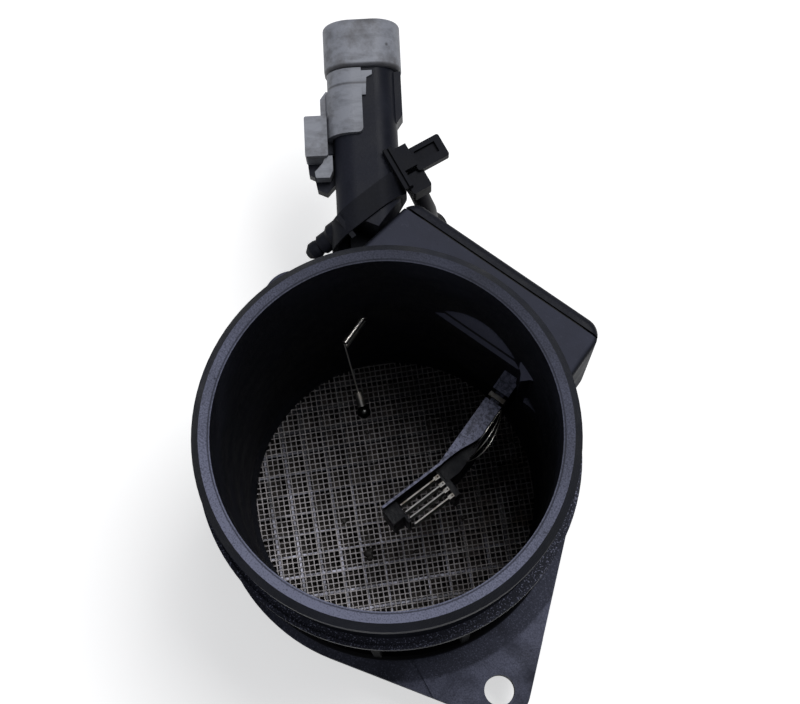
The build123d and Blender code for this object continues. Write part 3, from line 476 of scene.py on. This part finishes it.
def grid_moulding(base):
    """The straightener grid: top edges bright with dust and painted light, in patches, oily
    black ones between; the painted light grows toward the low left of the picture."""
    finish = Finish("grid moulding", specular=0.3)
    # Painted light: the grid's top edges are painted brighter toward the low left.
    painted_light_side = finish.ramp(finish.along(LOW_LEFT), -6.0 * MM, 20.0 * MM)
    patches = finish.ramp(finish.noise(120.0, 5.0, 0.65), 0.38, 0.56)
    lint = finish.ramp(finish.noise(900.0, 4.0, 0.7), 0.4, 0.62, 0.3, 1.0)
    dust = finish.times(finish.facing_up(0.4, 0.9), painted_light_side, patches, lint)
    tone = finish.blend(dust, base, GRID_DUST_AND_LIGHT)
    finish.colour(finish.blend(finish.times(finish.oil(), 0.7), tone, GRID_OIL))
    finish.rough(finish.ramp(patches, 0.0, 1.0, 0.4, 0.75))
    finish.bump(grain(finish, 1800.0), 0.1 * MM, 0.7)
    return finish.material


def grey_moulding(name, base, run):
    """Matt grey plastic: darker streaks that run along the piece, patches of brown-grey grime,
    small dark nicks, two dark lines across it, and painted shade that makes the sides a
    little darker than the top."""
    finish = Finish(name, specular=0.35)
    lines = finish.mapped((1.0, 0.16, 1.0), run)
    streaks = finish.ramp(finish.noise(420.0, 5.0, 0.65, lines), 0.46, 0.68)
    grime = finish.ramp(finish.noise(95.0, 8.0, 0.68), 0.5, 0.72)
    nicks = finish.ramp(finish.cells(210.0), 0.06, 0.13, 1.0, 0.0)
    nicks = finish.times(nicks, finish.ramp(finish.noise(75.0, 2.0), 0.48, 0.54))
    place = finish.along(run)
    # Dark lines at the latch's step and at the collar's edge.
    dark_lines = finish.plus(
        finish.between(place, LATCH_STEP_LINE, LATCH_STEP_LINE + 2 * DARK_LINE_WIDTH, DARK_LINE_WIDTH),
        finish.between(place, COLLAR_EDGE, COLLAR_EDGE + 3 * DARK_LINE_WIDTH, DARK_LINE_WIDTH))
    top = finish.facing_up(0.1, 0.7)
    tone = finish.blend(streaks, base, scaled(base, 0.66))
    tone = finish.blend(finish.times(grime, 0.85), tone, GRIME)
    marks = finish.plus(finish.times(nicks, 0.8), finish.times(dark_lines, 0.75))
    tone = finish.blend(marks, tone, NICK)
    # Painted shade: faces that look sideways are mixed toward the shaded grey.
    finish.colour(finish.blend(top, finish.blend(0.2, tone, SHADED_GREY), tone))
    finish.rough(finish.ramp(grime, 0.0, 1.0, 0.5, 0.75))
    finish.bump(grain(finish, 1500.0, 900.0), 0.08 * MM, 0.6)
    return finish.material


def metal(name, base, roughness=0.3, tarnish=(0.2, 0.15, 0.09)):
    """Tinned or bright metal with fine scratches and dull patches."""
    finish = Finish(name, metallic=1.0)
    patches = finish.ramp(finish.noise(600.0, 4.0), 0.5, 0.75)
    finish.colour(finish.blend(finish.times(patches, 0.6), base, tarnish))
    finish.rough(finish.ramp(patches, 0.0, 1.0, roughness, roughness + 0.3))
    finish.bump(finish.noise(3000.0, 2.0), 0.03 * MM, 0.5)
    return finish.material


def rubber(name, base):
    """Matt rubber with a fine dusty tooth."""
    finish = Finish(name, specular=0.25)
    dust = finish.ramp(finish.noise(240.0, 5.0), 0.5, 0.8, 0.0, 0.25)
    finish.colour(finish.blend(dust, base, RUBBER_DUST))
    finish.rough(finish.ramp(dust, 0.0, 0.25, 0.55, 0.85))
    finish.bump(finish.noise(1400.0, 3.0), 0.07 * MM, 0.6)
    return finish.material


def ceramic(name, base, spots):
    """Fired substrate with printed dark patches and a faint tooth."""
    finish = Finish(name)
    marks = finish.ramp(finish.cells(420.0), 0.18, 0.3)
    finish.colour(finish.blend(finish.times(marks, 0.5), base, spots))
    finish.rough(finish.ramp(finish.noise(500.0), 0.3, 0.7, 0.35, 0.55))
    finish.bump(finish.noise(2500.0, 2.0), 0.03 * MM, 0.5)
    return finish.material


def dusty_wire(name, base):
    """Dull screen wire with dark gaps in its dust, oily brown dirt to one side, and painted
    shade that darkens it away from the low left.
    """
    finish = Finish(name, specular=0.4)
    bare = finish.ramp(finish.noise(170.0, 6.0, 0.7), 0.46, 0.66)
    lint = finish.ramp(finish.noise(1500.0, 3.0, 0.7), 0.48, 0.64)
    # Painted shade: the wire is darkened away from the low left, where the duct's wall shades it.
    light = finish.ramp(finish.along(LOW_LEFT), -34.0 * MM, 24.0 * MM, 0.36, 1.0)
    tone = finish.blend(finish.times(bare, 0.75), base, scaled(base, 0.16))
    tone = finish.blend(finish.times(lint, 0.4), tone, WIRE_DUST)
    tone = finish.blend(light, scaled(base, 0.2), tone)
    finish.colour(finish.blend(finish.times(finish.oil(), 0.6), tone, WIRE_OIL))
    finish.rough(finish.ramp(lint, 0.0, 1.0, 0.4, 0.75))
    finish.bump(finish.noise(4000.0, 2.0), 0.03 * MM, 0.5)
    return finish.material


# Surfaces

def grid_faces(rows, columns, start=0):
    """Quads between rows of points, each row closing round on itself."""
    row = np.arange(rows - 1)[:, None] * columns
    column = np.arange(columns)[None, :]
    following = (column + 1) % columns
    quads = np.stack([row + column, row + following, row + columns + following,
                      row + columns + column], axis=-1)
    return quads.reshape(-1, 4) + start


def mesh_piece(name, points, faces, material):
    """Makes an object at the origin from arrays of points and faces."""
    mesh = bpy.data.meshes.new(name)
    mesh.from_pydata(points.tolist(), [], faces)
    mesh.update()
    mesh.shade_smooth()
    mesh.materials.append(material)
    piece = bpy.data.objects.new(name, mesh)
    bpy.context.scene.collection.objects.link(piece)
    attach(piece, "root")
    return piece


def woven_wires(radius, pitch, wire, crimp, level, sides, steps):
    """Two sets of crimped wires at right angles, cut to a disc and fused where they cross:
    along each wire the height is a cosine of pi times the distance over the pitch, its sign
    changing from wire to wire, and both sets have the same height at a crossing. Each
    cross-section is a regular polygon round that line, closed by a flat face at both ends."""
    count = int(radius // pitch)
    offsets = np.arange(-count, count + 1) * pitch
    points, faces, start = [], [], 0
    ring = np.arange(sides) * 2 * np.pi / sides + np.pi / sides
    for lengthwise in (True, False):
        for index, offset in enumerate(offsets):
            half = math.sqrt(max(radius ** 2 - offset ** 2, pitch ** 2))
            rows = max(3, int(round(2 * half / pitch * steps)) + 1)
            s = np.linspace(-half, half, rows)
            z = (-1) ** index * crimp * np.cos(np.pi * s / pitch)
            across = wire * np.cos(ring)[None, :] + offset
            up = z[:, None] + wire * np.sin(ring)[None, :]
            along = np.repeat(s[:, None], sides, axis=1)
            across = np.repeat(across, rows, axis=0)
            u, v = (along, across) if lengthwise else (-across, along)
            points.append(np.stack([u, v, up + level], axis=-1).reshape(-1, 3))
            faces.extend(grid_faces(rows, sides, start)[:, ::-1].tolist())
            faces.append((start + np.arange(sides)).tolist())
            faces.append((start + (rows - 1) * sides + np.arange(sides)[::-1]).tolist())
            start += rows * sides
    flat = np.concatenate(points)
    turned = flat.copy()
    turned[:, 0] = flat[:, 0] * np.cos(SCREEN_ANGLE) - flat[:, 1] * np.sin(SCREEN_ANGLE)
    turned[:, 1] = flat[:, 0] * np.sin(SCREEN_ANGLE) + flat[:, 1] * np.cos(SCREEN_ANGLE)
    return turned, faces


def crumb(centre, size, seed, rows=9, columns=14, swelling=0.13, flatness=3):
    """A crumb of dirt: a ball whose radius swells by three cosines of 2, 3 and 4 times the
    longitude, each times the sine of the latitude and with a phase drawn from the seed, and
    whose height is divided by the flatness."""
    draw = np.random.default_rng(seed)
    phases = draw.uniform(0, 2 * np.pi, 3)
    latitude = np.linspace(0, np.pi, rows)[:, None]
    longitude = (np.arange(columns) * 2 * np.pi / columns)[None, :]
    swell = 1 + sum(swelling * np.cos((k + 2) * longitude + phase) * np.sin(latitude)
                    for k, phase in enumerate(phases))
    reach = size * swell
    points = np.stack([reach * np.sin(latitude) * np.cos(longitude),
                       reach * np.sin(latitude) * np.sin(longitude),
                       reach * np.cos(latitude) / flatness], axis=-1)
    body = points[1:-1].reshape(-1, 3)
    ends = np.array([[0, 0, size / flatness], [0, 0, -size / flatness]])
    last = (rows - 3) * columns
    top, bottom = len(body), len(body) + 1
    step = [(c, (c + 1) % columns) for c in range(columns)]
    faces = grid_faces(rows - 2, columns)[:, ::-1].tolist()
    faces += [[top, c, n] for c, n in step]
    faces += [[bottom, last + n, last + c] for c, n in step]
    return np.concatenate([body, ends]) + np.array(centre), faces


def rounded_block(centre, half, turn, rows=17, columns=24, power=0.25):
    """A rounded block, turned in plan: a superellipsoid, whose points are signed fourth
    roots of the cosines and sines of latitude and longitude, scaled to the half sizes."""
    def root(value):
        return np.sign(value) * np.abs(value) ** power

    latitude = np.linspace(-np.pi / 2, np.pi / 2, rows)[1:-1, None]
    longitude = (np.arange(columns) * 2 * np.pi / columns)[None, :]
    flat = root(np.cos(latitude))
    x = half[0] * flat * root(np.cos(longitude))
    y = half[1] * flat * root(np.sin(longitude))
    z = half[2] * root(np.sin(latitude)) + 0 * longitude
    body = np.stack([x * math.cos(turn) - y * math.sin(turn),
                     x * math.sin(turn) + y * math.cos(turn), z], axis=-1).reshape(-1, 3)
    ends = np.array([[0, 0, -half[2]], [0, 0, half[2]]])
    last = (rows - 3) * columns
    step = [(c, (c + 1) % columns) for c in range(columns)]
    faces = grid_faces(rows - 2, columns).tolist()
    faces += [[len(body), n, c] for c, n in step]
    faces += [[len(body) + 1, last + c, last + n] for c, n in step]
    return np.concatenate([body, ends]) + np.array(centre), faces


# Operators

class SENSOR_OT_webs(bpy.types.Operator):
    """Fills the lock piece's slot and the strap head's corner with their dark webs"""
    bl_idname = "sensor.webs"
    bl_label = "Webs"

    def execute(self, context):
        base = tuple(context.scene.sensor_finish.housing)
        black = moulding("web moulding", base, scaled(base, 4.0), share=0.2, specular=0.1)
        for name, place, half, slot in WEBS:
            points, faces = rounded_block([value * MM for value in place],
                                          [value * MM for value in half], CONNECTOR_RUN)
            piece = mesh_piece(name, points, faces, black)
        return {"FINISHED"}


class SENSOR_OT_cable(bpy.types.Operator):
    """Runs the short sleeved cable from the connector into the lid"""
    bl_idname = "sensor.cable"
    bl_label = "Cable"

    def execute(self, context):
        settings = context.scene.sensor_cable
        route = [tuple(value * MM for value in point) for point in CABLE_ROUTE]
        curve = bpy.data.curves.new("cable", "CURVE")
        curve.dimensions = "3D"
        spline = curve.splines.new("NURBS")
        spline.points.add(len(route) - 1)
        for point, place in zip(spline.points, route):
            point.co = (*place, 1.0)
        spline.order_u = 3
        spline.use_endpoint_u = True
        spline.resolution_u = 16
        curve.bevel_depth = settings.diameter / 2
        curve.bevel_resolution = 6
        curve.use_fill_caps = True
        curve.materials.append(rubber("cable sleeve rubber", (0.010, 0.010, 0.013)))
        cable = bpy.data.objects.new("cable", curve)
        context.scene.collection.objects.link(cable)
        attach(cable, "root")
        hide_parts("cable_sleeve")
        return {"FINISHED"}


class SENSOR_OT_finishes(bpy.types.Operator):
    """Gives every solid of the frame its finish"""
    bl_idname = "sensor.finishes"
    bl_label = "Finishes"

    def execute(self, context):
        settings = context.scene.sensor_finish
        base = tuple(settings.housing)
        bloom_and_sheen = tuple(settings.bloom_and_sheen)
        made = {
            "housing": housing_moulding(base, bloom_and_sheen),
            "lid": moulding("lid moulding", scaled(base, 0.6), scaled(bloom_and_sheen, 0.3), share=0.3,
                            specular=0.1),
            "arm": arm_moulding(base, scaled(bloom_and_sheen, 1.4)),
            "connector": moulding("connector moulding", tuple(settings.connector),
                                  scaled(bloom_and_sheen, 0.2), 3000.0, 0.3, (0.4, 0.58), 0.12),
            "strap": moulding("strap moulding", scaled(base, 0.6), scaled(bloom_and_sheen, 0.15), 2600.0,
                              0.3, (0.5, 0.62), 0.08),
            "grid": grid_moulding(base),
            "grey": grey_moulding("grey moulding", tuple(settings.grey), CONNECTOR_RUN),
            "metal": metal("tinned metal", tuple(settings.metal)),
            "dull": metal("dull plate", (0.16, 0.155, 0.15), 0.5),
            "spring": metal("spring steel", (0.25, 0.25, 0.26)),
            "seal": rubber("seal rubber", (0.012, 0.012, 0.012)),
            "glue": rubber("set glue", (0.01, 0.009, 0.008)),
            "board": ceramic("fired board", (0.72, 0.7, 0.64), (0.3, 0.22, 0.12)),
            "film": ceramic("glazed film", (0.30, 0.30, 0.29), (0.12, 0.12, 0.12)),
            "chip": moulding("chip moulding", (0.02, 0.02, 0.02), (0.06, 0.06, 0.06), 3000.0),
            "capacitor": ceramic("capacitor body", (0.45, 0.32, 0.2), (0.3, 0.2, 0.1)),
            "bead": metal("dark bead", (0.03, 0.03, 0.03), 0.25, (0.01, 0.01, 0.01)),
        }
        worn_by = {
            "housing": ("housing",),
            "lid": ("box_lid",),
            "arm": ("sensor_arm",),
            "connector": ("connector_body",),
            "strap": ("connector_strap",),
            "grid": ("straightener_grid",),
            "grey": ("connector_collar", "connector_latch"),
            "dull": ("guard_plates", "plate_clips", "arm_band"),
            "metal": ("board_pads", "film_leads", "thermistor_pins", "thermistor_leads",
                      "thermistor_sleeve", "contact_blades", "wire_screen"),
            "spring": ("screen_ring",),
            "seal": ("inlet_seal", "mouth_seal", "cable_grommet", "cable_sleeve"),
            "glue": ("lid_adhesive",),
            "board": ("circuit_board",),
            "film": ("film_plates",),
            "chip": ("board_chip",),
            "capacitor": ("board_capacitors",),
            "bead": ("thermistor_bead",),
        }
        for finish, names in worn_by.items():
            for name in names:
                piece = NODES[name]
                if not piece.material_slots:
                    piece.data.materials.append(made[finish])
                for slot in piece.material_slots:
                    slot.material = made[finish]
        return {"FINISHED"}


class SENSOR_OT_screen(bpy.types.Operator):
    """Makes the fine wire screen in place of the solids' coarse lattice"""
    bl_idname = "sensor.screen"
    bl_label = "Woven screen"

    def execute(self, context):
        settings = context.scene.sensor_screen
        low, high = SCREEN_BOX
        radius = (high[0] - low[0]) / 2 - SCREEN_GAP
        level = (low[2] + high[2]) / 2
        points, faces = woven_wires(radius, settings.pitch, settings.wire, settings.crimp,
                                    level, WIRE_SIDES, WIRE_STEPS)
        weave = mesh_piece("woven_screen", points, faces,
                           dusty_wire("dusty wire", tuple(settings.colour)))
        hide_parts("wire_screen")
        return {"FINISHED"}


class SENSOR_OT_dirt(bpy.types.Operator):
    """Drops crumbs of black dirt on the screen"""
    bl_idname = "sensor.dirt"
    bl_label = "Dirt"

    def execute(self, context):
        settings = context.scene.sensor_screen
        level = (SCREEN_BOX[0][2] + SCREEN_BOX[1][2]) / 2 + settings.crimp + 2 * settings.wire
        points, faces = [], []
        for index, (x, y, size) in enumerate(CRUMBS):
            more, quads = crumb((x * MM, y * MM, level), size * MM, index)
            start = sum(len(part) for part in points)
            points.append(more)
            faces += [[start + corner for corner in quad] for quad in quads]
        dirt = moulding("dirt", (0.012, 0.011, 0.011), (0.05, 0.045, 0.04), 1500.0)
        piece = mesh_piece("screen_crumbs", np.concatenate(points), faces, dirt)
        return {"FINISHED"}


class SENSOR_OT_stage(bpy.types.Operator):
    """Sets the pale floor, painted dark as shadow inside the duct's foot, the soft lamps and the
    camera
    """
    bl_idname = "sensor.stage"
    bl_label = "Stage"

    def execute(self, context):
        scene = context.scene
        settings = scene.sensor_stage
        mesh = bpy.data.meshes.new("stage_floor")
        mesh.from_pydata([(x * FLOOR_REACH, y * FLOOR_REACH, FLOOR_LEVEL)
                          for x, y in ((-1, -1), (1, -1), (1, 1), (-1, 1))], [],
                         [(0, 1, 2, 3)])
        floor = bpy.data.objects.new("stage_floor", mesh)
        scene.collection.objects.link(floor)
        finish = Finish("stage floor", roughness=0.9, specular=0.1)
        # Inside the duct's foot the floor is painted dark as shadow and gets no glow.
        outside = finish.above(finish.radius(), SPIGOT_RADIUS)
        finish.colour(finish.blend(outside, FLOOR_SHADOW_UNDER_DUCT, tuple(settings.floor)))
        finish.shader.inputs["Emission Color"].default_value = (1.0, 1.0, 1.0, 1.0)
        rays = finish.node("ShaderNodeLightPath")
        seen = finish.plus(*(rays.outputs[kind] for kind in
                             ("Is Camera Ray", "Is Glossy Ray", "Is Transmission Ray")))
        seen = finish.ramp(seen, 0.0, 1.0, 0.0, settings.floor_glow)
        finish.link(finish.times(seen, outside), finish.shader.inputs["Emission Strength"])
        mesh.materials.append(finish.material)

        world = bpy.data.worlds.new("studio")
        scene.world = world
        world.use_nodes = True
        background = world.node_tree.nodes["Background"]
        background.inputs["Color"].default_value = (*SKY_COLOUR, 1.0)
        background.inputs["Strength"].default_value = settings.sky

        for name, place, size, power in LAMPS:
            data = bpy.data.lights.new(name, "AREA")
            data.size = size
            data.energy = getattr(settings, power)
            lamp = bpy.data.objects.new(name, data)
            lamp.location = place
            lamp.rotation_euler = (-Vector(place)).to_track_quat("-Z", "Y").to_euler()
            scene.collection.objects.link(lamp)

        data = bpy.data.cameras.new("camera")
        data.sensor_fit = "HORIZONTAL"
        data.sensor_width = 36.0
        data.lens = settings.focal
        data.clip_start = 0.01
        camera = bpy.data.objects.new("camera", data)
        place = Vector(settings.camera_place)
        look = (Vector(settings.camera_target) - place).normalized()
        up = Vector((math.cos(settings.camera_up), math.sin(settings.camera_up), 0.0))
        right = look.cross(up).normalized()
        turn = np.array([right, right.cross(look), -look]).T
        camera.matrix_world = Matrix([[*turn[0], place.x], [*turn[1], place.y],
                                      [*turn[2], place.z], [0.0, 0.0, 0.0, 1.0]])
        scene.collection.objects.link(camera)
        scene.camera = camera
        scene.view_settings.view_transform = "Standard"
        return {"FINISHED"}


class SENSOR_PT_panel(bpy.types.Panel):
    """Lists the sensor's settings and steps"""
    bl_label = "Airflow sensor"
    bl_idname = "SENSOR_PT_panel"
    bl_space_type = "VIEW_3D"
    bl_region_type = "UI"
    bl_category = "Airflow sensor"

    def draw(self, context):
        for group in SETTINGS:
            column = self.layout.column()
            settings = getattr(context.scene, group)
            for key in settings.__annotations__:
                column.prop(settings, key)
        for operator in OPERATORS:
            self.layout.operator(operator.bl_idname)


SETTINGS = {"sensor_cable": CableSettings, "sensor_finish": FinishSettings,
            "sensor_screen": ScreenSettings, "sensor_stage": StageSettings}
OPERATORS = (SENSOR_OT_stage, SENSOR_OT_cable, SENSOR_OT_finishes, SENSOR_OT_screen,
             SENSOR_OT_webs, SENSOR_OT_dirt)


def register():
    for kind in (*SETTINGS.values(), *OPERATORS, SENSOR_PT_panel):
        bpy.utils.register_class(kind)
    for name, group in SETTINGS.items():
        setattr(bpy.types.Scene, name, bpy.props.PointerProperty(type=group))


def unregister():
    for name in SETTINGS:
        delattr(bpy.types.Scene, name)
    for kind in (SENSOR_PT_panel, *OPERATORS, *SETTINGS.values()):
        bpy.utils.unregister_class(kind)


def main():
    register()
    for operator in OPERATORS:
        group, name = operator.bl_idname.split(".")
        getattr(getattr(bpy.ops, group), name)()


if __name__ == "__main__":
    main()
